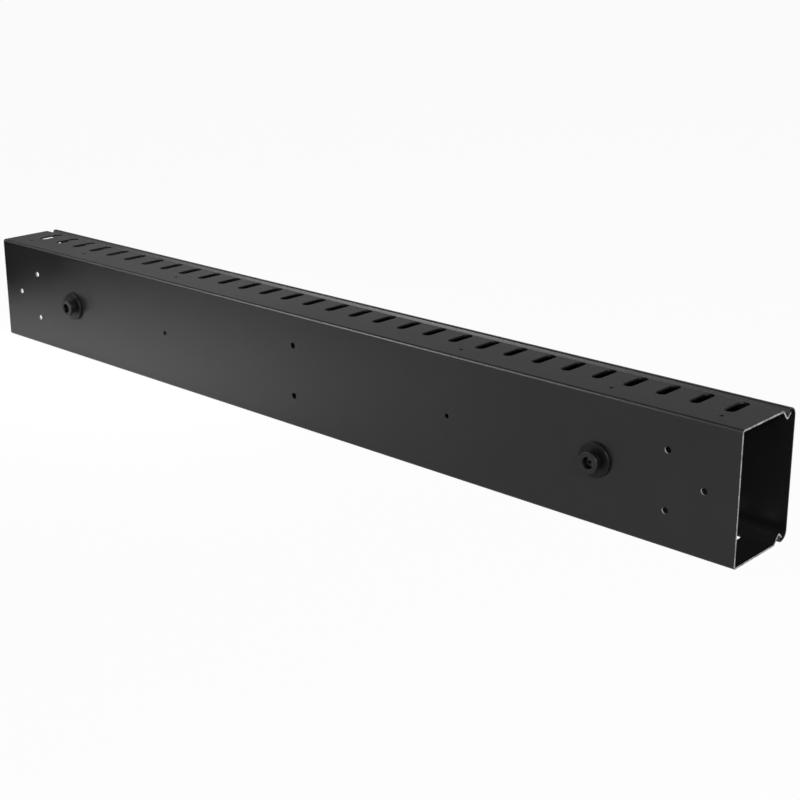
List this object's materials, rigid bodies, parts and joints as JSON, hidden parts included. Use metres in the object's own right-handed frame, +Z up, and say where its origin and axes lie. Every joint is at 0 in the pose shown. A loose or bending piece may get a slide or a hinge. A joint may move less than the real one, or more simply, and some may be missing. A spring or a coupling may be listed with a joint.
{
  "type": "vertical cable manager",
  "caption": "Slotted sheet-steel cable channel with a hooked clip-on cover and two keyhole mounting buttons, for the upright of a server rack.",
  "frame": {"origin": "centre of the back panel's outer face, midway between its two centre holes", "axes": "+X along the channel, +Y from the back panel towards the cover, +Z up as the part lies on one side wall"},
  "size_m": [0.914, 0.0853, 0.107],
  "materials": {
    "black_powder_coat": "satin",
    "black_cover_coat": "satin",
    "black_button": "satin",
    "black_screw": "satin",
    "zinc_plated_steel": "satin"
  },
  "bodies": {
    "channel": {"trough": "black_powder_coat", "mount_button_left": "black_button", "mount_button_right": "black_button", "button_screw_left": "black_screw", "button_screw_right": "black_screw", "lock_washer_left": "zinc_plated_steel", "lock_washer_right": "zinc_plated_steel", "hex_nut_left": "zinc_plated_steel", "hex_nut_right": "zinc_plated_steel"},
    "cover": {"cover": "black_cover_coat"}
  },
  "joints": [
    {"name": "cover_slide", "type": "slide", "parent": "channel", "child": "cover", "axis": [1, 0, 0], "range_m": [-0.92, 0.92]}
  ]
}
